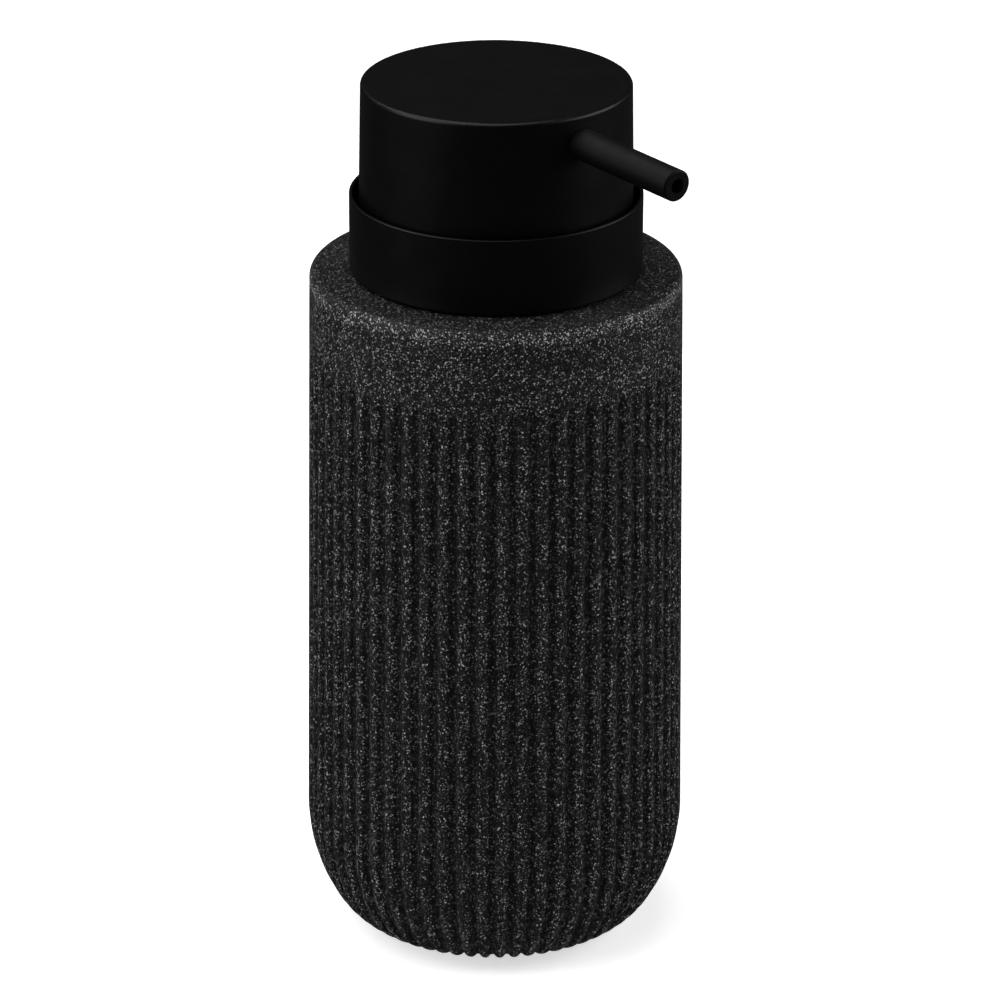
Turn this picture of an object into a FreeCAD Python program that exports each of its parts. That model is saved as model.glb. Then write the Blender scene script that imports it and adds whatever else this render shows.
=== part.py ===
import FreeCAD, Part
import math
import os

import Sketcher
from FreeCAD import Placement, Rotation, Vector

# Soap pump dispenser: a ribbed stone-resin bottle with a lotion pump that screws onto its neck.
# +Z is up, the spout points along -Y, and the origin is the centre of the foot pad's underside.

SIZES = {
    # bottle
    "pad_radius": 20.0,
    "pad_thickness": 1.5,
    "pad_stand": 0.5,
    "pad_clearance": 0.3,
    "bottle_height": 137.3,
    "bottle_top_radius": 36.0,
    "bottle_side_radius": 37.46,
    "bottle_foot_radius": 21.8,
    "corner_height": 23.8,
    "corner_low_radius": 12.4,
    "shoulder_round": 1.6,
    "bottle_roof": 7.5,
    "bottle_floor": 6.0,
    "cavity_radius": 31.8,
    "cavity_low_round": 14.0,
    "cavity_high_round": 4.0,
    "mouth_radius": 17.5,
    # ribs moulded round the bottle
    "rib_count": 60,
    "rib_depth": 0.7,
    "rib_land": 0.5,
    "rib_valley": 1.0,
    "rib_land_edge": 0.12,
    "rib_side_round": 1.6,
    "rib_top": 122.5,
    "rib_foot_run": 0.6,
    "rib_run_out": 4.0,
    "rib_run_out_radius": 8.0,
    "groove_clear": 1.0,
    # neck with its outside thread
    "neck_bore_radius": 13.0,
    "neck_radius": 15.0,
    "neck_flange_radius": 20.0,
    "neck_flange": 1.2,
    "neck_height": 8.4,
    "thread_pitch": 4.23,
    "thread_radius": 16.2,
    "thread_root": 1.9,
    "thread_crest": 1.0,
    "thread_start": 2.0,
    "thread_turns": 1.25,
    "thread_gap": 0.3,
    "thread_sink": 0.2,
    # closure cap and the collar round it
    "cap_radius": 18.6,
    "cap_flange_radius": 23.0,
    "cap_flange": 1.3,
    "cap_height": 12.0,
    "cap_roof": 1.4,
    "cap_hole_radius": 9.0,
    "collar_gap": 0.3,
    "collar_radius": 28.25,
    "collar_height": 15.1,
    "collar_floor": 1.2,
    "collar_wall": 0.7,
    "collar_hole_radius": 20.4,
    "collar_foot_chamfer": 0.45,
    "collar_rim_round": 0.22,
    # pump barrel and what stands still with it
    "gasket_radius": 15.0,
    "gasket_thickness": 1.2,
    "barrel_length": 56.8,
    "barrel_radius": 6.6,
    "barrel_bore": 5.4,
    "barrel_flange": 1.2,
    "barrel_ledge": 19.0,
    "barrel_step": 0.5,
    "barrel_taper": 2.0,
    "chamber_outer": 4.4,
    "chamber_bore": 3.2,
    "seat_top": 13.6,
    "inlet_bore": 1.6,
    "socket_depth": 10.0,
    "tube_radius": 3.0,
    "tube_bore": 2.0,
    "tube_floor_gap": 1.6,
    "vent_radius": 0.5,
    "vent_height": 48.0,
    "guide_plug": 5.0,
    "guide_flange": 1.5,
    "guide_flange_radius": 8.6,
    "guide_play": 0.06,
    "seal_radius": 4.4,
    "seal_thickness": 1.6,
    "seal_height": 1.4,
    "cage_thickness": 1.5,
    "cage_play": 0.04,
    "cage_bore": 1.5,
    "cage_skirt": 0.8,
    "cage_skirt_inner": 2.0,
    "cage_skirt_outer": 2.9,
    "cage_slot": 1.2,
    "cage_slot_count": 3,
    "inlet_ball_radius": 2.4,
    "ball_gap": 0.14,
    # spring, piston, rod and stem
    "spring_wire": 0.45,
    "spring_radius": 4.2,
    "spring_length": 21.3,
    "spring_turns": 8.0,
    "piston_radius": 5.36,
    "piston_waist": 4.7,
    "piston_length": 8.0,
    "piston_lip": 1.4,
    "piston_lip_slope": 1.0,
    "piston_edge": 0.4,
    "rod_gap": 0.3,
    "rod_spigot_radius": 2.6,
    "rod_spigot": 5.8,
    "rod_flange_radius": 4.1,
    "rod_flange": 1.4,
    "rod_length": 17.0,
    "rod_bore": 1.1,
    "rod_port_radius": 0.6,
    "rod_port_height": 8.6,
    "stem_radius": 3.2,
    "stem_bore": 1.9,
    "stem_length": 27.0,
    "stem_lift": 2.0,
    "valve_seat_radius": 1.6,
    "valve_bore": 1.1,
    "valve_wall": 2.0,
    "outlet_ball_radius": 1.6,
    # head with its spout
    "head_height": 25.9,
    "head_low_radius": 26.42,
    "head_top_radius": 25.95,
    "head_wall": 1.8,
    "head_roof": 1.5,
    "head_top_round": 0.7,
    "head_above_collar": 22.1,
    "core_radius": 5.5,
    "core_height": 13.1,
    "core_socket": 4.8,
    "core_chamber": 2.3,
    "core_chamber_top": 11.2,
    "core_stop_radius": 0.8,
    "core_stop_height": 8.6,
    "core_arm_half_width": 4.4,
    "core_arm_base": 4.9,
    "core_arm_inner": 4.0,
    "core_arm_reach": 23.7,
    "spout_droop": 1.5,
    "spout_below_top": 4.95,
    "spout_radius": 3.05,
    "spout_bore": 1.4,
    "spout_start": 8.0,
    "spout_reach": 53.4,
    "spout_hole_play": 0.05,
    "spout_tip_chamfer": 0.35,
}

# Lengths nearer than this are the same, and a cut takes away more than this volume.
TOLERANCE = 0.01
# A ring of cuts takes away at least this share of one cut times their number, as neighbours may overlap.
PATTERN_SHARE = 0.9

doc = FreeCAD.newDocument("SoapPump")


class Size:
    """A length worked out from the sheet: its number now and the expression that keeps it bound."""

    def __init__(self, number, text):
        self.number = number
        self.text = text

    def __add__(self, other):
        return Size(self.number + number(other), f"({self.text} + {text(other)})")

    def __sub__(self, other):
        return Size(self.number - number(other), f"({self.text} - {text(other)})")

    def __mul__(self, other):
        return Size(self.number * number(other), f"({self.text} * {text(other)})")

    def __truediv__(self, other):
        return Size(self.number / number(other), f"({self.text} / {text(other)})")

    def __radd__(self, other):
        return Size(number(other) + self.number, f"({text(other)} + {self.text})")

    def __rsub__(self, other):
        return Size(number(other) - self.number, f"({text(other)} - {self.text})")


def number(value):
    return value.number if isinstance(value, Size) else value


def text(value):
    return value.text if isinstance(value, Size) else str(value)


def make_sheet():
    sheet = doc.addObject("Spreadsheet::Sheet", "Sizes")
    for row, (alias, value) in enumerate(SIZES.items(), start=1):
        sheet.set(f"A{row}", alias)
        sheet.set(f"B{row}", str(value))
        sheet.setAlias(f"B{row}", alias)
    doc.recompute()


def size(alias):
    return Size(SIZES[alias], f"Sizes.{alias}")


def bind(item, path, value):
    item.setExpression(path, text(value))


def sine(angle):
    return Size(math.sin(math.radians(angle.number)), f"sin({angle.text})")


def cosine(angle):
    return Size(math.cos(math.radians(angle.number)), f"cos({angle.text})")


def root_of(value):
    return Size(math.sqrt(number(value)), f"sqrt({text(value)})")


# --- helpers for bodies and sketches ---


def new_body(label, height):
    body = doc.addObject("PartDesign::Body", label)
    body.Label = label
    bind(body, "Placement.Base.z", height)
    return body


def origin_feature(body, role):
    return next(item for item in body.Origin.OriginFeatures if item.Role == role)


def new_sketch(body, name, role="XZ_Plane"):
    sketch = body.newObject("Sketcher::SketchObject", name)
    sketch.AttachmentSupport = [(origin_feature(body, role), "")]
    sketch.MapMode = "FlatFace"
    return sketch


def fix_coordinate(sketch, kind, edge, end, value, name):
    """Hold one coordinate of an edge's end at a bound value, or on the axis when it is zero."""
    if isinstance(value, Size):
        index = sketch.addConstraint(Sketcher.Constraint(kind, -1, 1, edge, end, value.number))
        sketch.renameConstraint(index, name)
        bind(sketch, f"Constraints.{name}", value)
    else:
        axis = -2 if kind == "DistanceX" else -1
        sketch.addConstraint(Sketcher.Constraint("PointOnObject", edge, end, axis))


def fix_point(sketch, edge, end, point, name):
    fix_coordinate(sketch, "DistanceX", edge, end, point[0], f"{name}_across")
    fix_coordinate(sketch, "DistanceY", edge, end, point[1], f"{name}_up")


def flat(point):
    return Vector(number(point[0]), number(point[1]), 0)


def polygon(sketch, corners):
    """A closed outline of straight lines, with both coordinates of each corner bound."""
    count = len(corners)
    for index, corner in enumerate(corners):
        following = corners[(index + 1) % count]
        sketch.addGeometry(Part.LineSegment(flat(corner), flat(following)), False)
    for index, corner in enumerate(corners):
        sketch.addConstraint(Sketcher.Constraint("Coincident", index, 2, (index + 1) % count, 1))
        fix_point(sketch, index, 1, corner, f"corner_{index + 1}")


def circle(sketch, centre, radius):
    sketch.addGeometry(Part.Circle(flat(centre), Vector(0, 0, 1), radius.number), False)
    fix_point(sketch, 0, 3, centre, "centre")
    index = sketch.addConstraint(Sketcher.Constraint("Radius", 0, radius.number))
    sketch.renameConstraint(index, "reach")
    bind(sketch, "Constraints.reach", radius)


def revolve(body, sketch, name="Turned"):
    turned = body.newObject("PartDesign::Revolution", name)
    turned.Profile = sketch
    turned.ReferenceAxis = (sketch, ["V_Axis"])
    turned.Angle = 360
    doc.recompute()
    return turned


def lathe(label, height, corners):
    """A body turned about its own upright axis from one closed outline."""
    body = new_body(label, height)
    sketch = new_sketch(body, label + "_outline")
    polygon(sketch, corners)
    revolve(body, sketch)
    return body


def ring_edge(shape, radius, height):
    """The name of the circular edge of this radius at this height."""
    for index, edge in enumerate(shape.Edges, start=1):
        curve = edge.Curve
        if not isinstance(curve, Part.Circle):
            continue
        same_radius = abs(curve.Radius - number(radius)) < TOLERANCE
        if same_radius and abs(curve.Center.z - number(height)) < TOLERANCE:
            return f"Edge{index}"
    raise ValueError(f"no ring edge of radius {number(radius)} at {number(height)}")


def dress(body, kind, rings, amount):
    """A fillet or chamfer on the ring edges given by radius and height."""
    base = body.Tip
    feature = body.newObject("PartDesign::" + kind, kind)
    feature.Base = (base, [ring_edge(base.Shape, *ring) for ring in rings])
    bind(feature, "Radius" if kind == "Fillet" else "Size", amount)
    doc.recompute()
    return feature


def pocket(body, sketch, name, length=None, sides="One side", reverse=False):
    """Cut the sketch through everything, or to a bound length, and make sure that it cuts."""
    before = body.Tip.Shape.Volume
    cut = body.newObject("PartDesign::Pocket", name)
    cut.Profile = sketch
    cut.SideType = sides
    cut.Reversed = reverse
    if length is None:
        cut.Type = "ThroughAll"
    else:
        bind(cut, "Length", length)
    doc.recompute()
    if cut.Shape.Volume > before - TOLERANCE:
        raise ValueError(f"{name} in {body.Label} cuts nothing")
    return cut


def pattern_round(body, feature, count, name):
    pattern = body.newObject("PartDesign::PolarPattern", name)
    pattern.Originals = [feature]
    pattern.Axis = (origin_feature(body, "Z_Axis"), [""])
    pattern.Angle = 360
    bind(pattern, "Occurrences", count)
    body.Tip = pattern
    doc.recompute()
    before = feature.BaseFeature.Shape.Volume
    one_cut = before - feature.Shape.Volume
    if before - pattern.Shape.Volume < one_cut * count.number * PATTERN_SHARE:
        raise ValueError(f"{name} in {body.Label} leaves out some of its {count.number} cuts")
    return pattern


def thread(body, tooth, name):
    """A right-hand helical tooth of this outline, fused to the body."""
    sketch = new_sketch(body, name + "_tooth")
    polygon(sketch, tooth)
    helix = body.newObject("PartDesign::AdditiveHelix", name)
    helix.Profile = sketch
    helix.ReferenceAxis = (sketch, ["V_Axis"])
    helix.Mode = "pitch-turns-angle"
    bind(helix, "Pitch", size("thread_pitch"))
    bind(helix, "Turns", size("thread_turns"))
    doc.recompute()
    return helix


# --- heights that several pieces share ---

make_sheet()

bottle_top = size("pad_stand") + size("bottle_height")
neck_base = bottle_top - size("bottle_roof")
neck_top = bottle_top + size("neck_flange") + size("neck_height")
flange_top = neck_top + size("gasket_thickness") + size("barrel_flange")
barrel_base = flange_top - size("barrel_length")
ledge_height = barrel_base + size("barrel_ledge")
cage_top = ledge_height + size("cage_thickness")
guide_base = flange_top - size("guide_plug")
piston_base = guide_base - size("piston_length") - size("rod_gap")
stem_base = piston_base + size("stem_lift")
stem_top = stem_base + size("stem_length")
rod_base = piston_base - size("rod_gap") - size("rod_flange") - size("rod_spigot")
collar_base = bottle_top + size("collar_gap")
cap_base = collar_base + size("collar_floor")
head_top = collar_base + size("collar_height") + size("head_above_collar")
head_base = head_top - size("head_height")
core_base = stem_top - size("core_socket")
spout_axis = head_top - size("spout_below_top")
droop = size("spout_droop")


# --- bottle: resin body, foot pad and neck ---


def base_pad():
    radius = size("pad_radius")
    thickness = size("pad_thickness")
    body = new_body("base_pad", Size(0, "0"))
    sketch = new_sketch(body, "pad_outline", "XY_Plane")
    circle(sketch, (0, 0), radius)
    pad = body.newObject("PartDesign::Pad", "Pad")
    pad.Profile = sketch
    bind(pad, "Length", thickness)
    doc.recompute()
    return body


def corner_radii():
    """The two tangent arcs that turn the bottle's side in to its foot."""
    inset = SIZES["bottle_side_radius"] - SIZES["bottle_foot_radius"]
    rise = SIZES["corner_height"]
    low = SIZES["corner_low_radius"]
    high = (inset**2 + rise**2 - 2 * rise * low) / (2 * (inset - low))
    turn = math.asin((rise - low) / (high - low))
    return low, high, turn


def corner_arcs():
    """The side arc and the foot arc as first placed, before the sketch draws them tangent."""
    low, high, turn = corner_radii()
    side_centre = Vector(SIZES["bottle_side_radius"] - high, SIZES["corner_height"], 0)
    foot_centre = Vector(SIZES["bottle_foot_radius"], low, 0)
    up = Vector(0, 0, 1)
    side = Part.ArcOfCircle(Part.Circle(side_centre, up, high), -turn, 0)
    foot = Part.ArcOfCircle(Part.Circle(foot_centre, up, low), -math.pi / 2, -turn)
    return side, foot


def add_corner(sketch, line_end):
    """Add the side arc and the foot arc after a line whose second end is the corner's top."""
    side, foot = corner_arcs()
    side_index = sketch.addGeometry(side, False)
    foot_index = sketch.addGeometry(foot, False)
    sketch.addConstraint(Sketcher.Constraint("Tangent", line_end, 2, side_index, 2))
    sketch.addConstraint(Sketcher.Constraint("Tangent", side_index, 1, foot_index, 2))
    index = sketch.addConstraint(Sketcher.Constraint("Radius", foot_index, foot.Radius))
    sketch.renameConstraint(index, "foot_arc")
    bind(sketch, "Constraints.foot_arc", size("corner_low_radius"))
    return side_index, foot_index


def resin_body():
    body = new_body("resin_body", size("pad_stand"))
    top = size("bottle_height")
    roof = top - size("bottle_roof")
    floor = size("bottle_floor")
    recess = size("pad_thickness") - size("pad_stand")
    recess_radius = size("pad_radius") + size("pad_clearance")
    shoulder = (size("bottle_top_radius"), top)
    corner = (size("bottle_side_radius"), size("corner_height"))
    foot = (size("bottle_foot_radius"), 0)
    inside = [
        foot,
        (recess_radius, 0),
        (recess_radius, recess),
        (0, recess),
        (0, floor),
        (size("cavity_radius"), floor),
        (size("cavity_radius"), roof),
        (size("mouth_radius"), roof),
        (size("mouth_radius"), top),
        shoulder,
        corner,
    ]
    sketch = new_sketch(body, "bottle_section")
    for start, end in zip(inside, inside[1:]):
        sketch.addGeometry(Part.LineSegment(flat(start), flat(end)), False)
    last = len(inside) - 2
    for index in range(last):
        sketch.addConstraint(Sketcher.Constraint("Coincident", index, 2, index + 1, 1))
    for index, point in enumerate(inside[:-1]):
        fix_point(sketch, index, 1, point, f"corner_{index + 1}")
    fix_point(sketch, last, 2, corner, "corner_top")
    _, foot_arc = add_corner(sketch, last)
    sketch.addConstraint(Sketcher.Constraint("Tangent", foot_arc, 1, 0, 1))
    revolve(body, sketch)
    dress(body, "Fillet", [shoulder], size("shoulder_round"))
    dress(body, "Fillet", [(size("cavity_radius"), roof)], size("cavity_high_round"))
    dress(body, "Fillet", [(size("cavity_radius"), floor)], size("cavity_low_round"))
    add_ribs(body)
    return body


def side_radius_at(height):
    """The bottle's outside radius on its straight tapered side."""
    rise = size("bottle_height") - size("corner_height")
    slope = (size("bottle_side_radius") - size("bottle_top_radius")) / rise
    return size("bottle_side_radius") - slope * (height - size("corner_height"))


def rib_path(body):
    """The line a groove follows: a run-out arc, the side, the two arcs in to the foot, and a way under it."""
    sketch = new_sketch(body, "groove_path")
    start_height = size("rib_top") - size("rib_run_out")
    start = (side_radius_at(start_height), start_height)
    corner = (size("bottle_side_radius"), size("corner_height"))
    line = sketch.addGeometry(Part.LineSegment(flat(start), flat(corner)), False)
    fix_point(sketch, line, 1, start, "run_out_low")
    fix_point(sketch, line, 2, corner, "corner_top")
    _, foot_arc = add_corner(sketch, line)
    foot = (size("bottle_foot_radius"), 0)
    groove_end = (foot[0] - size("rib_foot_run"), 0)
    under = sketch.addGeometry(Part.LineSegment(flat(groove_end), flat(foot)), False)
    fix_point(sketch, under, 1, groove_end, "groove_end")
    fix_point(sketch, under, 2, foot, "foot")
    sketch.addConstraint(Sketcher.Constraint("Tangent", under, 2, foot_arc, 1))
    radius = size("rib_run_out_radius")
    centre = flat(start) + Vector(radius.number, 0, 0)
    sweep = math.asin(SIZES["rib_run_out"] / radius.number)
    arc = Part.ArcOfCircle(Part.Circle(centre, Vector(0, 0, 1), radius.number), math.pi - sweep, math.pi)
    run_out = sketch.addGeometry(arc, False)
    sketch.addConstraint(Sketcher.Constraint("Tangent", run_out, 2, line, 1))
    index = sketch.addConstraint(Sketcher.Constraint("Radius", run_out, radius.number))
    sketch.renameConstraint(index, "run_out_round")
    bind(sketch, "Constraints.run_out_round", radius)
    fix_coordinate(sketch, "DistanceY", run_out, 1, size("rib_top"), "run_out_top")
    return sketch


def groove_section(body):
    """One groove's outline under the foot, its sides the rounded flanks of the ribs beside it."""
    sketch = new_sketch(body, "groove_section", "YZ_Plane")
    clear = size("groove_clear")
    bind(sketch, "AttachmentOffset.Base.z", size("bottle_foot_radius") - size("rib_foot_run"))
    bind(sketch, "AttachmentOffset.Base.y", 0 - clear)
    pitch = size("bottle_side_radius") * (2 * math.pi) / size("rib_count")
    half = (pitch - size("rib_land")) / 2
    radius = size("rib_side_round")
    valley = (size("rib_valley") / 2, clear + size("rib_depth"))
    land = (half, clear + size("rib_land_edge"))
    chord = flat(land) - flat(valley)
    reach = math.sqrt(radius.number**2 - chord.Length**2 / 4)
    inward = Vector(-chord.y, chord.x, 0).normalize()
    centre = (flat(land) + flat(valley)) / 2 + inward * reach
    up = Vector(0, 0, 1)
    start = math.atan2(valley[1].number - centre.y, valley[0].number - centre.x)
    end = math.atan2(land[1].number - centre.y, half.number - centre.x)
    right_arc = Part.ArcOfCircle(Part.Circle(centre, up, radius.number), start, end)
    mirrored = Vector(-centre.x, centre.y, 0)
    left_arc = Part.ArcOfCircle(Part.Circle(mirrored, up, radius.number), math.pi - end, math.pi - start)
    low_right = Vector(half.number, 0, 0)
    low_left = Vector(-half.number, 0, 0)
    high_left = Vector(-half.number, land[1].number, 0)
    floor_right = flat(valley)
    floor_left = Vector(-floor_right.x, floor_right.y, 0)
    outer = sketch.addGeometry(Part.LineSegment(low_left, low_right), False)
    right_wall = sketch.addGeometry(Part.LineSegment(low_right, flat(land)), False)
    right_flank = sketch.addGeometry(right_arc, False)
    floor = sketch.addGeometry(Part.LineSegment(floor_right, floor_left), False)
    left_flank = sketch.addGeometry(left_arc, False)
    left_wall = sketch.addGeometry(Part.LineSegment(high_left, low_left), False)
    joined = [
        (outer, 2, right_wall, 1),
        (right_wall, 2, right_flank, 2),
        (right_flank, 1, floor, 1),
        (floor, 2, left_flank, 2),
        (left_flank, 1, left_wall, 1),
        (left_wall, 2, outer, 1),
    ]
    for ends in joined:
        sketch.addConstraint(Sketcher.Constraint("Coincident", *ends))
    fix_point(sketch, right_wall, 2, land, "land")
    fix_point(sketch, right_flank, 1, valley, "valley")
    sketch.addConstraint(Sketcher.Constraint("Vertical", right_wall))
    sketch.addConstraint(Sketcher.Constraint("PointOnObject", outer, 2, -1))
    sketch.addConstraint(Sketcher.Constraint("Symmetric", left_flank, 1, right_flank, 2, -2))
    sketch.addConstraint(Sketcher.Constraint("Symmetric", floor, 1, floor, 2, -2))
    sketch.addConstraint(Sketcher.Constraint("Symmetric", outer, 1, outer, 2, -2))
    index = sketch.addConstraint(Sketcher.Constraint("Radius", right_flank, radius.number))
    sketch.renameConstraint(index, "flank_round")
    bind(sketch, "Constraints.flank_round", radius)
    sketch.addConstraint(Sketcher.Constraint("Equal", left_flank, right_flank))
    return sketch


def add_ribs(body):
    """Cut one groove down the side and in to the foot, and repeat it to leave the ribs between."""
    path = rib_path(body)
    section = groove_section(body)
    doc.recompute()
    groove = body.newObject("PartDesign::SubtractivePipe", "Groove")
    groove.Profile = section
    groove.Spine = (path, [f"Edge{index + 1}" for index in range(len(path.Shape.Edges))])
    doc.recompute()
    pattern_round(body, groove, size("rib_count"), "Ribs")


def neck_insert():
    """The threaded neck that is glued into the bottle's mouth."""
    bore = size("neck_bore_radius")
    wall = size("neck_radius")
    flange = size("neck_flange_radius")
    mouth = size("mouth_radius")
    spigot = size("bottle_roof")
    shelf = spigot + size("neck_flange")
    top = shelf + size("neck_height")
    corners = [(bore, 0), (mouth, 0), (mouth, spigot), (flange, spigot), (flange, shelf), (wall, shelf)]
    body = lathe("neck_insert", neck_base, corners + [(wall, top), (bore, top)])
    middle = shelf + size("thread_start")
    sunk = wall - size("thread_sink")
    thread(body, tooth_outline(sunk, size("thread_radius"), middle), "Thread")
    return body


def tooth_outline(root_radius, crest_radius, middle):
    """A thread tooth's section: wide at its root, narrow at its crest."""
    root = size("thread_root") / 2
    crest = size("thread_crest") / 2
    return [
        (root_radius, middle - root),
        (crest_radius, middle - crest),
        (crest_radius, middle + crest),
        (root_radius, middle + root),
    ]


# --- closure: threaded cap and the collar that hides it ---


def closure_cap():
    gap = size("thread_gap")
    inside = size("thread_radius") + gap
    skirt = size("cap_radius")
    flange = size("cap_flange_radius")
    hole = size("cap_hole_radius")
    lip = size("cap_flange")
    top = size("cap_height")
    roof = top - size("cap_roof")
    corners = [(inside, 0), (flange, 0), (flange, lip), (skirt, lip), (skirt, top), (hole, top)]
    body = lathe("closure_cap", cap_base, corners + [(hole, roof), (inside, roof)])
    neck_tooth = bottle_top + size("neck_flange") + size("thread_start")
    middle = neck_tooth + size("thread_pitch") / 2 - cap_base
    sunk = inside + size("thread_sink")
    thread(body, tooth_outline(sunk, size("neck_radius") + gap, middle), "Thread")
    return body


def collar_cup():
    hole = size("collar_hole_radius")
    outside = size("collar_radius")
    inside = outside - size("collar_wall")
    floor = size("collar_floor")
    top = size("collar_height")
    corners = [(hole, 0), (outside, 0), (outside, top), (inside, top), (inside, floor), (hole, floor)]
    body = lathe("collar_cup", collar_base, corners)
    dress(body, "Chamfer", [(outside, 0)], size("collar_foot_chamfer"))
    dress(body, "Fillet", [(outside, top), (inside, top)], size("collar_rim_round"))
    return body


# --- pump: the barrel and what stands still in it ---


def neck_gasket():
    bore = size("neck_bore_radius")
    outside = size("gasket_radius")
    thickness = size("gasket_thickness")
    corners = [(bore, 0), (outside, 0), (outside, thickness), (bore, thickness)]
    return lathe("neck_gasket", neck_top, corners)


def pump_housing():
    tube = size("tube_radius")
    lower = size("chamber_outer")
    wall = size("barrel_radius")
    bore = size("barrel_bore")
    ledge = size("barrel_ledge")
    chamber = size("chamber_bore")
    inlet = size("inlet_bore")
    socket = size("socket_depth")
    seat = size("seat_top")
    top = size("barrel_length")
    flange = top - size("barrel_flange")
    shoulder = ledge - size("barrel_step")
    corners = [
        (tube, 0),
        (lower, 0),
        (lower, shoulder - size("barrel_taper")),
        (wall, shoulder),
        (wall, flange),
        (size("gasket_radius"), flange),
        (size("gasket_radius"), top),
        (bore, top),
        (bore, ledge),
        (chamber, ledge),
        (chamber, seat),
        (inlet, seat - (chamber - inlet)),
        (inlet, socket),
        (tube, socket),
    ]
    body = lathe("pump_housing", barrel_base, corners)
    sketch = new_sketch(body, "vent_outline", "YZ_Plane")
    circle(sketch, (0, size("vent_height")), size("vent_radius"))
    pocket(body, sketch, "Vent", reverse=True)
    return body


def stem_guide():
    """The guide pressed into the barrel's mouth, grooved for the stem's seal."""
    bore = size("stem_radius") + size("guide_play")
    plug = size("barrel_bore")
    flange = size("guide_flange_radius")
    shelf = size("guide_plug")
    top = shelf + size("guide_flange")
    seal = size("seal_radius")
    low = size("seal_height")
    high = low + size("seal_thickness")
    corners = [(bore, 0), (plug, 0), (plug, shelf), (flange, shelf), (flange, top), (bore, top)]
    return lathe("stem_guide", guide_base, corners + [(bore, high), (seal, high), (seal, low), (bore, low)])


def stem_seal():
    bore = size("stem_radius") + size("guide_play")
    outside = size("seal_radius")
    thickness = size("seal_thickness")
    corners = [(bore, 0), (outside, 0), (outside, thickness), (bore, thickness)]
    return lathe("stem_seal", guide_base + size("seal_height"), corners)


def ball_cage():
    """The ring that keeps the inlet ball down and carries the spring, slotted to let soap past."""
    bore = size("cage_bore")
    outside = size("barrel_bore") - size("cage_play")
    inner = size("cage_skirt_inner")
    outer = size("cage_skirt_outer")
    skirt = size("cage_skirt")
    top = skirt + size("cage_thickness")
    corners = [(inner, 0), (outer, 0), (outer, skirt), (outside, skirt), (outside, top), (bore, top)]
    body = lathe("ball_cage", ledge_height - skirt, corners + [(bore, skirt), (inner, skirt)])
    sketch = new_sketch(body, "slot_outline", "XY_Plane")
    half = size("cage_slot") / 2
    polygon(sketch, [(bore, 0 - half), (outside, 0 - half), (outside, half), (bore, half)])
    slot = pocket(body, sketch, "Slot", length=skirt, reverse=True)
    pattern_round(body, slot, size("cage_slot_count"), "Slots")
    return body


def dip_tube():
    radius = size("tube_radius")
    bore = size("tube_bore")
    base = size("pad_stand") + size("bottle_floor") + size("tube_floor_gap")
    length = barrel_base + size("socket_depth") - base
    body = lathe("dip_tube", base, [(bore, 0), (radius, 0), (radius, length), (bore, length)])
    sketch = new_sketch(body, "slant_outline")
    polygon(sketch, [(0 - radius, 0), (radius, 0), (radius, radius * 2)])
    pocket(body, sketch, "Slant", sides="Symmetric")
    return body


def ball(label, radius, height):
    sphere = doc.addObject("Part::Sphere", label)
    sphere.Label = label
    bind(sphere, "Radius", radius)
    bind(sphere, "Placement.Base.z", height)
    return sphere


def resting_height(apex, radius):
    """The height of a ball's centre just clear of a 45-degree conical seat."""
    return apex + radius * root_of(2) + size("ball_gap")


def inlet_ball():
    apex = barrel_base + size("seat_top") - size("chamber_bore")
    radius = size("inlet_ball_radius")
    return ball("inlet_ball", radius, resting_height(apex, radius))


def return_spring():
    body = new_body("return_spring", cage_top)
    sketch = new_sketch(body, "wire_outline")
    wire = size("spring_wire")
    circle(sketch, (size("spring_radius"), wire), wire)
    coil = body.newObject("PartDesign::AdditiveHelix", "Coil")
    coil.Profile = sketch
    coil.ReferenceAxis = (sketch, ["V_Axis"])
    coil.Mode = "height-turns-angle"
    bind(coil, "Height", size("spring_length") - wire * 2)
    bind(coil, "Turns", size("spring_turns"))
    doc.recompute()
    return body


# --- plunger: piston, rod, stem and outlet ball ---


def piston():
    bore = size("stem_radius") + size("guide_play")
    lip = size("piston_radius")
    waist = size("piston_waist")
    edge = size("piston_edge")
    length = size("piston_length")
    flat_end = size("piston_lip")
    slope_end = flat_end + size("piston_lip_slope")
    corners = [
        (bore, 0),
        (lip - edge, 0),
        (lip, edge),
        (lip, flat_end),
        (waist, slope_end),
        (waist, length - slope_end),
        (lip, length - flat_end),
        (lip, length - edge),
        (lip - edge, length),
        (bore, length),
    ]
    return lathe("piston", piston_base, corners)


def piston_rod():
    """The hollow rod under the piston: a spring spigot, a flange, and side ports for the soap."""
    spigot = size("rod_spigot")
    flange = spigot + size("rod_flange")
    floor = size("rod_port_height") - size("rod_port_radius")
    length = size("rod_length")
    corners = [
        (0, 0),
        (size("rod_spigot_radius"), 0),
        (size("rod_spigot_radius"), spigot),
        (size("rod_flange_radius"), spigot),
        (size("rod_flange_radius"), flange),
        (size("stem_bore"), flange),
        (size("stem_bore"), length),
        (size("rod_bore"), length),
        (size("rod_bore"), floor),
        (0, floor),
    ]
    body = lathe("piston_rod", rod_base, corners)
    sketch = new_sketch(body, "port_outline", "YZ_Plane")
    circle(sketch, (0, size("rod_port_height")), size("rod_port_radius"))
    pocket(body, sketch, "Ports", sides="Symmetric")
    return body


def stem():
    bore = size("stem_bore")
    radius = size("stem_radius")
    length = size("stem_length")
    valve = size("valve_bore")
    seat = size("valve_seat_radius")
    corners = [
        (bore, 0),
        (radius, 0),
        (radius, length),
        (seat, length),
        (valve, length - (seat - valve)),
        (valve, length - size("valve_wall")),
        (bore, length - size("valve_wall")),
    ]
    return lathe("stem", stem_base, corners)


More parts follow.
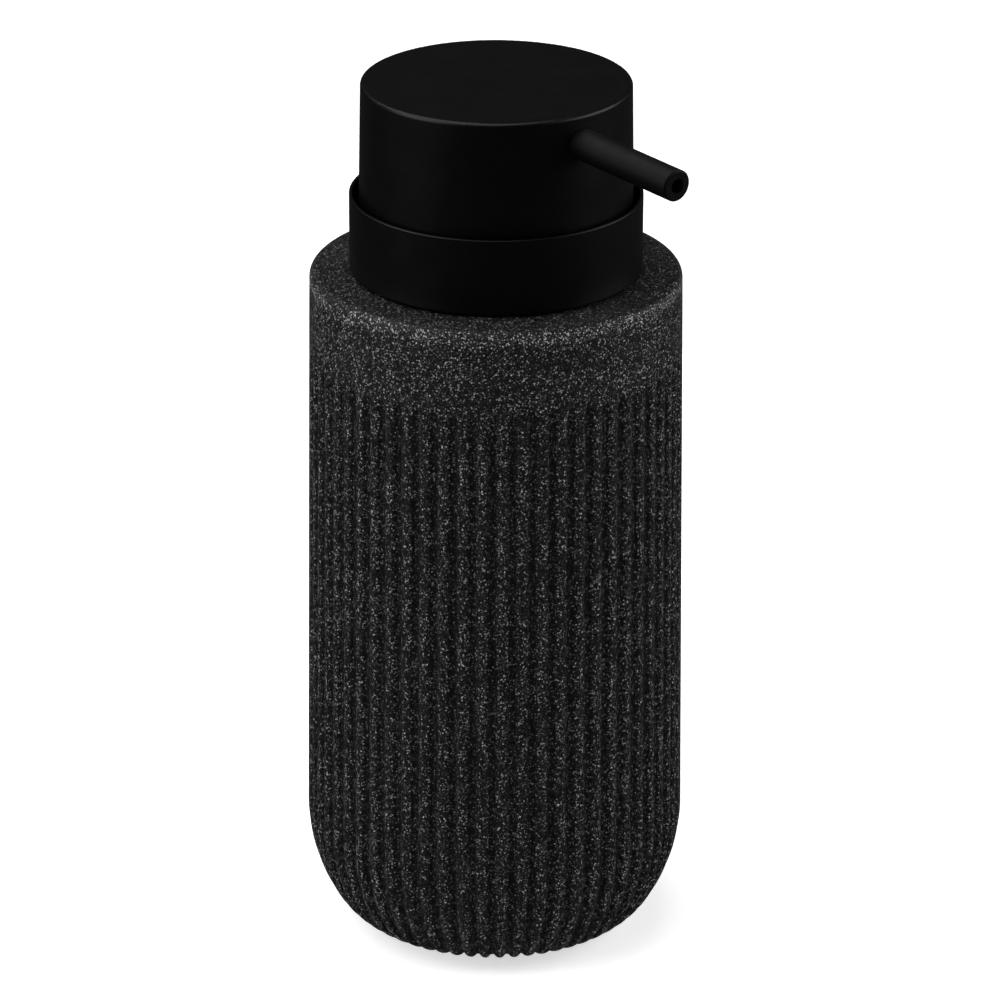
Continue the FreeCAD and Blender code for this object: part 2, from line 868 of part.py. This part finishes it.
def outlet_ball():
    apex = stem_top - size("valve_seat_radius")
    radius = size("outlet_ball_radius")
    return ball("outlet_ball", radius, resting_height(apex, radius))


# --- head: core, shell and spout ---


def spout_sketch(body, name, height, along):
    """A sketch square to the spout's drooping axis, this far along it from the head's axis."""
    sketch = new_sketch(body, name)
    sketch.AttachmentOffset = Placement(Vector(0, 0, 0), Rotation(Vector(1, 0, 0), droop.number))
    bind(sketch, "AttachmentOffset.Rotation.Angle", droop)
    bind(sketch, "AttachmentOffset.Base.y", height - along * sine(droop))
    bind(sketch, "AttachmentOffset.Base.z", along * cosine(droop))
    return sketch


def head_core():
    """The moulding that grips the stem and carries the soap across to the spout."""
    socket = size("stem_radius")
    outside = size("core_radius")
    chamber = size("core_chamber")
    stop = size("core_stop_radius")
    top = size("core_height")
    corners = [
        (socket, 0),
        (outside, 0),
        (outside, top),
        (0, top),
        (0, size("core_stop_height")),
        (stop, size("core_stop_height")),
        (stop, size("core_chamber_top")),
        (chamber, size("core_chamber_top")),
        (chamber, size("core_socket")),
        (socket, size("core_socket")),
    ]
    body = lathe("head_core", core_base, corners)
    outline = new_sketch(body, "arm_outline", "XY_Plane")
    bind(outline, "AttachmentOffset.Base.z", size("core_arm_base"))
    half = size("core_arm_half_width")
    near = 0 - size("core_arm_inner")
    far = 0 - size("core_arm_reach")
    polygon(outline, [(0 - half, far), (half, far), (half, near), (0 - half, near)])
    arm = body.newObject("PartDesign::Pad", "Arm")
    arm.Profile = outline
    bind(arm, "Length", top - size("core_arm_base"))
    doc.recompute()
    height = spout_axis - core_base
    passage = spout_sketch(body, "passage_outline", height, size("core_stop_radius"))
    circle(passage, (0, 0), size("spout_bore"))
    pocket(body, passage, "Passage", reverse=True)
    bore = spout_sketch(body, "spout_socket_outline", height, size("spout_start"))
    circle(bore, (0, 0), size("spout_radius"))
    pocket(body, bore, "SpoutSocket", reverse=True)
    return body


def head_shell():
    low = size("head_low_radius")
    high = size("head_top_radius")
    wall = size("head_wall")
    top = size("head_height")
    roof = top - size("head_roof")
    corners = [(low - wall, 0), (low, 0), (high, top), (0, top), (0, roof), (high - wall, roof)]
    body = lathe("head_shell", head_base, corners)
    dress(body, "Fillet", [(high, top)], size("head_top_round"))
    hole = spout_sketch(body, "spout_hole_outline", spout_axis - head_base, size("spout_start"))
    circle(hole, (0, 0), size("spout_radius") + size("spout_hole_play"))
    pocket(body, hole, "SpoutHole", reverse=True)
    return body


def spout_tube():
    """The straight outlet tube, turned upright and laid along the drooping spout axis."""
    radius = size("spout_radius")
    bore = size("spout_bore")
    start = size("spout_start")
    length = size("spout_reach") - start
    corners = [(bore, 0), (radius, 0), (radius, length), (bore, length)]
    body = lathe("spout_tube", spout_axis - start * sine(droop), corners)
    dress(body, "Chamfer", [(radius, length)], size("spout_tip_chamfer"))
    body.Placement = Placement(body.Placement.Base, Rotation(Vector(1, 0, 0), 90 + droop.number))
    bind(body, "Placement.Base.y", 0 - start * cosine(droop))
    bind(body, "Placement.Rotation.Angle", 90 + droop)
    doc.recompute()
    return body


# --- build, check and write ---


def check(pieces):
    doc.recompute()
    for item in doc.Objects:
        if "Invalid" in item.State or "Error" in item.State:
            raise ValueError(f"{item.Name} failed: {item.State}")
    for piece in pieces:
        if piece.Shape.isNull() or not piece.Shape.isValid():
            raise ValueError(f"{piece.Label} has no valid shape")
        if len(piece.Shape.Solids) != 1:
            raise ValueError(f"{piece.Label} is {len(piece.Shape.Solids)} solids")


def write(pieces):
    os.makedirs("parts", exist_ok=True)
    for piece in pieces:
        piece.Shape.exportStep(f"parts/{piece.Label}.step")
        box = piece.Shape.BoundBox
        print(f"{piece.Label:15s} {piece.Shape.Volume:10.1f} mm3  z {box.ZMin:7.2f} to {box.ZMax:7.2f}")


makers = [
    resin_body,
    base_pad,
    neck_insert,
    closure_cap,
    collar_cup,
    neck_gasket,
    pump_housing,
    stem_guide,
    stem_seal,
    ball_cage,
    dip_tube,
    inlet_ball,
    return_spring,
    piston,
    piston_rod,
    stem,
    outlet_ball,
    head_core,
    head_shell,
    spout_tube,
]
pieces = [make() for make in makers]
check(pieces)
write(pieces)
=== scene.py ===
import math

import bpy
from mathutils import Matrix, Vector


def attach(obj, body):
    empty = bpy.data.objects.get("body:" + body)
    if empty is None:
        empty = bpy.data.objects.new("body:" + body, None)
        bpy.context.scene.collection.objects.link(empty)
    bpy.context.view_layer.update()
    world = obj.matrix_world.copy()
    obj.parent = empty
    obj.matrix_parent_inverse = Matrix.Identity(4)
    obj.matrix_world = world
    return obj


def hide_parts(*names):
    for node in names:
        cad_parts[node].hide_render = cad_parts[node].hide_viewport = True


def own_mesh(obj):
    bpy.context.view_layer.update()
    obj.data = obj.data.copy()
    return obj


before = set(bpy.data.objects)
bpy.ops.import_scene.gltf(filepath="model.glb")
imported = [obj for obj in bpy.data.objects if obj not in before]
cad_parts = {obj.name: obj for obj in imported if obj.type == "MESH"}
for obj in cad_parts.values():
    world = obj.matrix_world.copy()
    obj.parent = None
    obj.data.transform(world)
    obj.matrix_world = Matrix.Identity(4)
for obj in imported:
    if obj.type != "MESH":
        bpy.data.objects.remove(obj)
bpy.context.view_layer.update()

MM = 0.001
TURN = 2 * math.pi
QUARTER = math.pi / 2

# The camera stands where the object's outline has its photographed shape.
CAMERA_AZIMUTH = math.radians(-38.4)
CAMERA_ELEVATION = math.radians(23.0)
CAMERA_DISTANCE = 982.3 * MM
CAMERA_LENS = 180.0
CAMERA_SENSOR = 36.0
CAMERA_ROLL = 0.0032
TARGET_HEIGHT = 90.5 * MM
AIM_RIGHT = 0.914 * MM
AIM_DOWN = 1.53 * MM

# Soft boxes: azimuth from the camera's side, elevation, distance, width, height, radiance.
LIGHTS = {
    "overhead": (-100, 70, 1.25, 1.6, 1.6, 2.2),
    "left_box": (-71, 24, 1.1, 0.85, 0.9, 2.55),
    "right_box": (92, 24, 1.1, 0.95, 0.9, 2.95),
}
WORLD_LEVEL = 0.03

# The floor, how its glow grows with the distance from the object, and the wall round it.
FLOOR_REACH = 6.0
GLOW_NEAR, GLOW_FAR = 0.6, 1.0
GLOW_START, GLOW_END = 0.7, 1.7
WALL_RADIUS = 5.0
WALL_HEIGHT = 6.0
WALL_STEPS = 96

# The bottle's section and its ribs, with the CAD part's sizes. The ribs stand as in the photograph,
# half a pitch round from the CAD part's.
RIBS = 60
STEPS_PER_RIB = 16
RIB_DEPTH = 0.7 * MM
RIB_VALLEY = 1.0 * MM
RIB_FLANK_POWER = 2.4
VALLEY_ROUND = 0.25 * MM
EDGE_BLEND = 0.05 * MM
RUN_OUT_START = 119.0 * MM
RUN_OUT_LENGTH = 4.0 * MM
RUN_OUT_ROUND = 8.0 * MM
RUN_OUT_FADE = 0.8 * MM
FOOT_FADE = 1.0 * MM
PAD_STAND = 0.5 * MM
PAD_RECESS_RADIUS = 20.3 * MM
PAD_RECESS = 1.0 * MM
BOTTLE_TOP = 137.8 * MM
TOP_RADIUS = 36.0 * MM
SIDE_RADIUS = 37.46 * MM
FOOT_RADIUS = 21.8 * MM
CORNER_HEIGHT = 23.8 * MM
FOOT_ROUND = 12.4 * MM
SHOULDER_ROUND = 1.6 * MM
BAND_MARGIN = 4.0 * MM
TOP_RING = 27.0 * MM
MOUTH_RADIUS = 17.5 * MM
MOUTH_EDGE = 0.3 * MM
ROOF = 7.5 * MM
CAVITY_RADIUS = 31.8 * MM
CAVITY_FLOOR = 6.5 * MM
CAVITY_LOW_ROUND = 14.0 * MM
CAVITY_HIGH_ROUND = 4.0 * MM
SMALLEST_RADIUS = 1e-7

# The return spring at rest.
SPRING_FOOT = 113.5 * MM
SPRING_LENGTH = 21.3 * MM
SPRING_RADIUS = 4.2 * MM
SPRING_WIRE = 0.45 * MM
SPRING_TURNS = 8
SPRING_STEPS = 40
SPRING_SIDES = 12

# The stone resin. Between these heights, on the shoulder's edge, its grains are brightened as a
# painted highlight.
PAINTED_HIGHLIGHT_RISE = (134.2 * MM, 135.9 * MM)
PAINTED_HIGHLIGHT_FALL = (136.8 * MM, 137.6 * MM)
PAINTED_HIGHLIGHT_GAIN = 2.8
PALE_GRAIN = (0.36, 0.365, 0.37, 1)
GRAIN_RANGE = 125.0
# Cell size, how far a grain reaches in its cell, how rare pale ones are, how much the valleys'
# painted shade dims them.
GRAINS = [
    (0.25 * MM, 0.66, 3.1, 0.60),
    (0.40 * MM, 0.46, 13.0, 0.70),
]


# ---------------------------------------------------------------- mesh helpers


def spread(start, end, steps):
    """Evenly spaced values from start to end, both included."""
    return [start + (end - start) * step / steps for step in range(steps + 1)]


def on_circle(centre, radius, angle):
    return centre[0] + radius * math.cos(angle), centre[1] + radius * math.sin(angle)


def arc(centre, radius, start, end, steps):
    """Points round part of a circle, both ends included, as (across, up)."""
    return [on_circle(centre, radius, angle) for angle in spread(start, end, steps)]


def mesh_object(name, points, faces, sharp_over=math.radians(40)):
    mesh = bpy.data.meshes.new(name)
    mesh.from_pydata(points, [], faces)
    mesh.validate()
    for polygon in mesh.polygons:
        polygon.use_smooth = True
    mesh.set_sharp_from_angle(angle=sharp_over)
    made = bpy.data.objects.new(name, mesh)
    bpy.context.scene.collection.objects.link(made)
    return made


def turned(name, section, steps, shape):
    """A surface of revolution about Z. shape(index, angle) says where each ring's point goes."""
    points = []
    rings = []
    for index, (across, _) in enumerate(section):
        ring = []
        for step in range(steps if across > SMALLEST_RADIUS else 1):
            angle = TURN * step / steps
            reach, height = shape(index, angle)
            ring.append(len(points))
            points.append((reach * math.cos(angle), reach * math.sin(angle), height))
        rings.append(ring)
    faces = []
    for low, high in zip(rings, rings[1:]):
        for step in range(steps):
            after = (step + 1) % steps
            below = [low[step % len(low)], low[after % len(low)]]
            above = [high[after % len(high)], high[step % len(high)]]
            corners = list(dict.fromkeys(below + above))
            if len(corners) > 2:
                faces.append(corners)
    return mesh_object(name, points, faces)


# ---------------------------------------------------------------- the bottle


def groove_depth(distance):
    """How deep the surface lies at a distance round the bottle's side from a valley's middle."""
    crest = SIDE_RADIUS * math.pi / RIBS
    share = max(crest - distance, 0.0) / (crest - RIB_VALLEY / 2)
    above_floor = RIB_DEPTH - RIB_DEPTH * share**RIB_FLANK_POWER
    ease = VALLEY_ROUND**2 / RIB_DEPTH
    return RIB_DEPTH - (above_floor + math.hypot(above_floor, ease)) / 2


def soft_floor(value):
    """The value where it is well above nought, easing to nought below."""
    return (value + math.hypot(value, EDGE_BLEND)) / 2


def on_side(height):
    """The point of the bottle's tapered side at a height."""
    corner_top = PAD_STAND + CORNER_HEIGHT
    slope = (SIDE_RADIUS - TOP_RADIUS) / (BOTTLE_TOP - corner_top)
    return SIDE_RADIUS - slope * (height - corner_top), height


def ribbed_stations():
    """The section from the foot to the ribs' top: point, outward direction and groove share."""
    corner_top = PAD_STAND + CORNER_HEIGHT
    inset = SIDE_RADIUS - FOOT_RADIUS
    over = inset**2 + CORNER_HEIGHT**2 - 2 * CORNER_HEIGHT * FOOT_ROUND
    side_round = over / (2 * (inset - FOOT_ROUND))
    bend = math.asin((CORNER_HEIGHT - FOOT_ROUND) / (side_round - FOOT_ROUND))
    foot_centre = (FOOT_RADIUS, PAD_STAND + FOOT_ROUND)
    side_centre = (SIDE_RADIUS - side_round, corner_top)
    stations = []
    for angle in spread(-QUARTER, -bend, 14):
        point = on_circle(foot_centre, FOOT_ROUND, angle)
        share = min(max((point[0] - FOOT_RADIUS) / FOOT_FADE, 0.0), 1.0)
        stations.append((point, (math.cos(angle), math.sin(angle)), share))
    for angle in spread(-bend, 0.0, 11)[1:]:
        point = on_circle(side_centre, side_round, angle)
        stations.append((point, (math.cos(angle), math.sin(angle)), 1.0))
    heights = spread(corner_top, RUN_OUT_START, 9)[1:]
    heights += spread(RUN_OUT_START, RUN_OUT_START + RUN_OUT_LENGTH, 14)[1:]
    return stations + [(on_side(height), (1.0, 0.0), 1.0) for height in heights]


def plain_section():
    """The rest of the section: shoulder band, top, mouth, and the cavity down to the axis."""
    roof = BOTTLE_TOP - ROOF
    band_end = BOTTLE_TOP - SHOULDER_ROUND - BAND_MARGIN
    band = spread(RUN_OUT_START + RUN_OUT_LENGTH, band_end, 2)[1:]
    shoulder = (TOP_RADIUS - SHOULDER_ROUND, BOTTLE_TOP - SHOULDER_ROUND)
    high_corner = (CAVITY_RADIUS - CAVITY_HIGH_ROUND, roof - CAVITY_HIGH_ROUND)
    low_corner = (CAVITY_RADIUS - CAVITY_LOW_ROUND, CAVITY_FLOOR + CAVITY_LOW_ROUND)
    section = [on_side(height) for height in band]
    section += arc(shoulder, SHOULDER_ROUND, 0.0, QUARTER, 9)
    section += [(TOP_RING, BOTTLE_TOP), (MOUTH_RADIUS + MOUTH_EDGE, BOTTLE_TOP)]
    section += [(MOUTH_RADIUS, BOTTLE_TOP - MOUTH_EDGE), (MOUTH_RADIUS, roof)]
    section += arc(high_corner, CAVITY_HIGH_ROUND, QUARTER, 0.0, 3)
    section += arc(low_corner, CAVITY_LOW_ROUND, 0.0, -QUARTER, 4)
    return section + [(0.0, CAVITY_FLOOR)]


def bottle_body():
    """The bottle, its ribs in the mesh. The attribute groove is 0 on a crest and 1 in a valley."""
    recess_top = PAD_STAND + PAD_RECESS
    under = [(0.0, recess_top), (PAD_RECESS_RADIUS, recess_top), (PAD_RECESS_RADIUS, PAD_STAND)]
    stations = ribbed_stations()
    section = under + [point for point, _, _ in stations] + plain_section()
    grooves = []

    def ribbed(index, angle):
        station = index - len(under)
        if station < 0 or station >= len(stations):
            grooves.append(0.0)
            return section[index]
        (across, up), outward, share = stations[station]
        pitch = TURN / RIBS
        from_valley = abs((angle / pitch) % 1.0 - 0.5) * pitch
        depth = groove_depth(from_valley * SIDE_RADIUS)
        rise = max(up - RUN_OUT_START, 0.0)
        if rise > 0.0:
            depth -= RUN_OUT_ROUND - math.sqrt(RUN_OUT_ROUND**2 - rise**2)
            depth = soft_floor(depth) * min((RUN_OUT_LENGTH - rise) / RUN_OUT_FADE, 1.0)
        depth *= share
        grooves.append(depth / RIB_DEPTH)
        return across - depth * outward[0], up - depth * outward[1]

    made = turned("stone_bottle", section, RIBS * STEPS_PER_RIB, ribbed)
    groove = made.data.attributes.new("groove", "FLOAT", "POINT")
    groove.data.foreach_set("value", grooves)
    return made


# ---------------------------------------------------------------- the return spring


def spring_rise(turn):
    """How far up the wire has climbed after so many turns: the first and last lie closed."""
    closed = SPRING_WIRE * 2.1
    open_turns = SPRING_TURNS - 2
    pitch = (SPRING_LENGTH - SPRING_WIRE * 2 - closed * 2) / open_turns
    climbing = min(max(turn - 1, 0), open_turns)
    return climbing * pitch + (turn - climbing) * closed


def spring_coil():
    points = []
    for step in range(SPRING_TURNS * SPRING_STEPS + 1):
        turn = step / SPRING_STEPS
        middle = SPRING_FOOT + SPRING_WIRE + spring_rise(turn)
        for side in range(SPRING_SIDES):
            lean = TURN * side / SPRING_SIDES
            across = SPRING_RADIUS + SPRING_WIRE * math.cos(lean)
            up = middle + SPRING_WIRE * math.sin(lean)
            points.append((across * math.cos(TURN * turn), across * math.sin(TURN * turn), up))
    last = len(points) - 1
    faces = [list(range(SPRING_SIDES)), [last - side for side in range(SPRING_SIDES)]]
    for start in range(0, len(points) - SPRING_SIDES, SPRING_SIDES):
        ahead = start + SPRING_SIDES
        for side in range(SPRING_SIDES):
            after = (side + 1) % SPRING_SIDES
            faces.append([start + side, ahead + side, ahead + after, start + after])
    return mesh_object("coil_spring", points, faces)


# ---------------------------------------------------------------- materials


class Look:
    """A material's nodes, added one at a time."""

    def __init__(self, name, **sockets):
        self.material = bpy.data.materials.new(name)
        self.material.use_nodes = True
        self.nodes = self.material.node_tree.nodes
        self.links = self.material.node_tree.links
        self.shader = next(node for node in self.nodes if node.type == "BSDF_PRINCIPLED")
        for socket, value in sockets.items():
            self.shader.inputs[socket.replace("_", " ")].default_value = value
        self.place = self.nodes.new("ShaderNodeTexCoord").outputs["Object"]

    def add(self, kind, inputs=None, **settings):
        node = self.nodes.new("ShaderNode" + kind)
        for name, value in settings.items():
            setattr(node, name, value)
        for name, value in (inputs or {}).items():
            self.feed(node, name, value)
        return node

    def feed(self, node, name, value):
        if isinstance(value, bpy.types.NodeSocket):
            self.links.new(value, node.inputs[name])
        else:
            node.inputs[name].default_value = value

    def give(self, name, value):
        self.feed(self.shader, name, value)

    def noise(self, size, detail=2.0, roughness=0.5):
        """A noise field whose features are about that many metres across."""
        inputs = {"Vector": self.place, "Scale": 1 / size, "Detail": detail, "Roughness": roughness}
        return self.add("TexNoise", inputs).outputs["Fac"]

    def cells(self, size, place=None):
        """A field of cells of about that size, each with a colour of its own."""
        return self.add("TexVoronoi", {"Vector": place or self.place, "Scale": 1 / size})

    def between(self, value, low, high, to_low=0.0, to_high=1.0, smooth=True):
        inputs = {"Value": value, "From Min": low, "From Max": high}
        inputs.update({"To Min": to_low, "To Max": to_high})
        kind = "SMOOTHSTEP" if smooth else "LINEAR"
        return self.add("MapRange", inputs, interpolation_type=kind).outputs["Result"]

    def maths(self, operation, *values):
        return self.add("Math", dict(enumerate(values)), operation=operation).outputs[0]

    def vectors(self, operation, inputs):
        return self.add("VectorMath", inputs, operation=operation)

    def mix(self, share, first, second):
        return self.add("Mix", {0: share, 6: first, 7: second}, data_type="RGBA").outputs[2]

    def bump(self, height, distance, strength):
        inputs = {"Height": height, "Distance": distance, "Strength": strength}
        return self.add("Bump", inputs).outputs["Normal"]


def grey(value):
    return (value, value, value, 1.0)


def stone_resin():
    """Black stone resin: a dark binder packed with grains from nearly black to pale. Binder and
    grains are darkened in the rib valleys as painted shade, and the grains are brightened along the
    shoulder's edge as a painted highlight."""
    look = Look("stone_resin_look", Specular_IOR_Level=0.13)
    warp = look.add("TexNoise", {"Vector": look.place, "Scale": 1 / (0.35 * MM), "Detail": 1.0})
    shift = look.vectors("SUBTRACT", {0: warp.outputs["Color"], 1: (0.5, 0.5, 0.5)})
    scaled = look.vectors("SCALE", {0: shift.outputs[0], "Scale": 0.2 * MM})
    place = look.vectors("ADD", {0: look.place, 1: scaled.outputs[0]}).outputs[0]

    # Painted shade: the binder is darker and the pale grains fewer in the rib valleys.
    groove = look.add("Attribute", attribute_name="groove").outputs["Fac"]
    valley = look.between(groove, 0.04, 0.90)
    # Painted highlight: the grains are brightened in a band on the shoulder's edge, by up to the
    # highlight gain.
    height = look.add("SeparateXYZ", {"Vector": look.place}).outputs["Z"]
    rising = look.between(height, *PAINTED_HIGHLIGHT_RISE)
    edge = look.maths("MULTIPLY", rising, look.between(height, *PAINTED_HIGHLIGHT_FALL, 1.0, 0.0))
    painted_highlight = look.between(edge, 0.0, 1.0, 1.0, PAINTED_HIGHLIGHT_GAIN, smooth=False)

    cloud = look.noise(1.6 * MM, 3.0)
    crest_binder = look.mix(cloud, grey(0.0006), grey(0.0034))
    shaded_valley_binder = look.mix(cloud, grey(0.0006), grey(0.0024))
    colour = look.mix(valley, crest_binder, shaded_valley_binder)
    relief = look.noise(0.2 * MM, 3.0)
    for size, reach, rarity, valley_shade in GRAINS:
        offset = look.vectors("ADD", {0: place, 1: (size * 7, size * 3, size * 5)}).outputs[0]
        cells = look.cells(size, offset)
        parts = look.add("SeparateColor", {"Color": cells.outputs["Color"]})
        radius = look.maths("MULTIPLY_ADD", parts.outputs[1], 0.2, reach - 0.1)
        inside = look.maths("SUBTRACT", radius, cells.outputs["Distance"])
        grain = look.between(inside, 0.0, 0.12)
        power = look.maths("SUBTRACT", look.maths("POWER", parts.outputs[0], rarity), 1.0)
        paleness = look.maths("MULTIPLY", look.maths("POWER", GRAIN_RANGE, power), grain)
        # Painted shade: pale grains are dimmed in the rib valleys.
        left = look.between(valley, 0.0, 1.0, 1.0, 1.0 - valley_shade, smooth=False)
        paleness = look.maths("MULTIPLY", paleness, left)
        # The painted highlight on the shoulder's edge brightens the grains.
        paleness = look.maths("MULTIPLY", paleness, painted_highlight)
        colour = look.mix(paleness, colour, PALE_GRAIN)
        relief = look.maths("MULTIPLY_ADD", paleness, 0.5, relief)
    look.give("Base Color", colour)
    look.give("Roughness", look.between(look.noise(0.9 * MM, 2.0), 0.3, 0.7, 0.36, 0.52))
    look.give("Normal", look.bump(relief, 0.03 * MM, 0.7))
    return look.material


def moulded(name, dark, light, roughness, uneven, size, bump=0.004 * MM, spot=None, **sockets):
    """Moulded plastic or rubber: even colour with a slight cloud, a fine skin and uneven gloss.
    size is how large the cloud's patches are, and spot the colour of a few specks of dust."""
    look = Look(name, **sockets)
    base = look.mix(look.noise(size, 3.0), dark, light)
    if spot is not None:
        cells = look.cells(2.4 * MM)
        parts = look.add("SeparateColor", {"Color": cells.outputs["Color"]})
        reach = look.maths("MULTIPLY", look.maths("POWER", parts.outputs[0], 9.0), 0.035)
        inside = look.maths("SUBTRACT", reach, cells.outputs["Distance"])
        speck = look.maths("MULTIPLY", look.between(inside, 0.0, 0.008), 0.6)
        base = look.mix(speck, base, spot)
    look.give("Base Color", base)
    patches = look.noise(size * 0.6, 4.0, roughness=0.6)
    look.give("Roughness", look.between(patches, 0.3, 0.7, roughness - uneven, roughness + uneven))
    skin = look.maths("ADD", look.noise(0.22 * MM, 3.0), look.noise(0.06 * MM, 1.0))
    look.give("Normal", look.bump(skin, bump, 0.6))
    return look.material


def black_plastic(name, roughness, uneven, size, specular):
    return moulded(
        name, grey(0.0008), grey(0.0012), roughness, uneven, size,
        bump=0.003 * MM, spot=grey(0.03), Specular_IOR_Level=specular,
    )


def steel(name, roughness):
    """Drawn or ground steel, with fine scratches and uneven gloss."""
    look = Look(name, Metallic=1.0)
    cloud = look.noise(1.5 * MM, 3.0)
    look.give("Base Color", look.mix(cloud, (0.50, 0.49, 0.47, 1), (0.62, 0.61, 0.59, 1)))
    patches = look.noise(0.4 * MM, 4.0)
    look.give("Roughness", look.between(patches, 0.3, 0.7, roughness - 0.06, roughness + 0.10))
    look.give("Normal", look.bump(look.noise(0.08 * MM, 3.0), 0.003 * MM, 0.5))
    return look.material


def foam():
    """Closed-cell foam: dark, with small open pores whose hollows are painted darker as shade."""
    look = Look("pad_foam_look", Roughness=0.9)
    pore = look.between(look.cells(0.7 * MM).outputs["Distance"], 0.15, 0.45)
    # Painted shade: the colour is darker in the pores' hollows.
    look.give("Base Color", look.mix(pore, grey(0.006), grey(0.018)))
    look.give("Normal", look.bump(pore, 0.08 * MM, 0.8))
    return look.material


def floor_look():
    """A pale floor that glows softly, and more where the lights no longer reach it."""
    look = Look("floor_look", Roughness=0.9, Specular_IOR_Level=0.0, Emission_Color=grey(1.0))
    look.give("Base Color", look.mix(look.noise(0.4), grey(0.885), grey(0.9)))
    away = look.vectors("LENGTH", {0: look.place}).outputs["Value"]
    glow = look.between(away, GLOW_START, GLOW_END, GLOW_NEAR, GLOW_FAR)
    look.give("Emission Strength", glow)
    return look.material


def backdrop_look():
    look = Look("backdrop_look", Roughness=0.9, Specular_IOR_Level=0.0, Emission_Strength=1.0)
    look.give("Base Color", look.mix(look.noise(0.4), grey(0.0), grey(0.01)))
    look.give("Emission Color", look.mix(look.noise(0.8), grey(0.98), grey(1.0)))
    return look.material


# ---------------------------------------------------------------- camera, floor and light


def basis(azimuth, elevation):
    """The right, up and back directions of something that looks inwards from there."""
    back = Vector((
        math.sin(azimuth) * math.cos(elevation),
        -math.cos(azimuth) * math.cos(elevation),
        math.sin(elevation),
    ))
    right = Vector((math.cos(azimuth), math.sin(azimuth), 0.0))
    return right, back.cross(right), back


def placed(name, data, right, up, back, place):
    made = bpy.data.objects.new(name, data)
    bpy.context.scene.collection.objects.link(made)
    facing = Matrix((right, up, back)).transposed().to_4x4()
    made.matrix_world = Matrix.Translation(place) @ facing
    return made


def add_camera():
    right, up, back = basis(CAMERA_AZIMUTH, CAMERA_ELEVATION)
    camera = bpy.data.cameras.new("camera")
    camera.lens = CAMERA_LENS
    camera.sensor_width = CAMERA_SENSOR
    camera.clip_end = 50.0
    aim = Vector((0.0, 0.0, TARGET_HEIGHT)) + right * AIM_RIGHT - up * AIM_DOWN
    made = placed("camera", camera, right, up, back, aim + back * CAMERA_DISTANCE)
    made.matrix_world = made.matrix_world @ Matrix.Rotation(CAMERA_ROLL, 4, "Z")
    bpy.context.scene.camera = made


def add_floor():
    signs = [(-1, -1), (1, -1), (1, 1), (-1, 1)]
    corners = [(across * FLOOR_REACH, along * FLOOR_REACH, 0.0) for across, along in signs]
    floor = mesh_object("floor", corners, [(0, 1, 2, 3)])
    floor.data.materials.append(floor_look())
    floor.visible_glossy = False


def add_backdrop():
    """A pale wall all round the floor, which sheds no light on the object."""
    section = [(WALL_RADIUS, 0.0), (WALL_RADIUS, WALL_HEIGHT)]
    wall = turned("backdrop", section, WALL_STEPS, lambda index, angle: section[index])
    wall.data.materials.append(backdrop_look())
    wall.visible_diffuse = False
    wall.visible_glossy = False
    wall.visible_transmission = False
    wall.visible_shadow = False


def add_light(name, azimuth, elevation, distance, width, height, radiance):
    """A soft box aimed at the middle of the object."""
    right, up, back = basis(CAMERA_AZIMUTH + math.radians(azimuth), math.radians(elevation))
    light = bpy.data.lights.new(name, "AREA")
    light.shape = "RECTANGLE"
    light.size = width
    light.size_y = height
    light.energy = radiance * math.pi * width * height
    aim = Vector((0.0, 0.0, TARGET_HEIGHT))
    placed(name, light, right, up, back, aim + back * distance)


def add_world():
    world = bpy.data.worlds.new("world")
    world.use_nodes = True
    background = world.node_tree.nodes["Background"]
    background.inputs["Color"].default_value = grey(1.0)
    background.inputs["Strength"].default_value = WORLD_LEVEL
    bpy.context.scene.world = world


# ---------------------------------------------------------------- putting it together

PUMP_WHITE = ((0.62, 0.63, 0.62, 1), (0.68, 0.69, 0.68, 1))
PISTON_WHITE = ((0.5, 0.52, 0.53, 1), (0.58, 0.6, 0.6, 1))
LOOKS = {
    "stone_resin": stone_resin(),
    "black_plastic": black_plastic("black_plastic_look", 0.36, 0.025, 9 * MM, 0.20),
    "neck_plastic": moulded("neck_plastic_look", grey(0.006), grey(0.009), 0.5, 0.05, 8 * MM),
    "pump_plastic": moulded(
        "pump_plastic_look", *PUMP_WHITE, 0.38, 0.05, 6 * MM,
        Subsurface_Weight=0.15, Subsurface_Scale=0.002,
    ),
    "piston_plastic": moulded("piston_plastic_look", *PISTON_WHITE, 0.34, 0.05, 5 * MM),
    "seal_rubber": moulded(
        "seal_rubber_look", grey(0.02), grey(0.03), 0.72, 0.06, 3 * MM, bump=0.008 * MM
    ),
    "pad_foam": foam(),
    "spring_steel": steel("spring_steel_look", 0.28),
    "ball_steel": steel("ball_steel_look", 0.14),
}
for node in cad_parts.values():
    for slot in node.material_slots:
        slot.material = LOOKS[slot.material.name.split(".")[0]]

# The spout's skin is duller than the moulded shells'.
spout_plastic = black_plastic("spout_plastic_look", 0.54, 0.03, 5 * MM, 0.13)
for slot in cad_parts["spout_tube"].material_slots:
    slot.material = spout_plastic

bottle = bottle_body()
bottle.data.materials.append(LOOKS["stone_resin"])
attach(bottle, "bottle")
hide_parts("resin_body")

spring = spring_coil()
spring.data.materials.append(LOOKS["spring_steel"])
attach(spring, "pump")
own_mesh(spring)
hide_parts("return_spring")

add_camera()
add_floor()
add_backdrop()
for name, setting in LIGHTS.items():
    add_light(name, *setting)
add_world()

view = bpy.context.scene.view_settings
view.view_transform = "Standard"
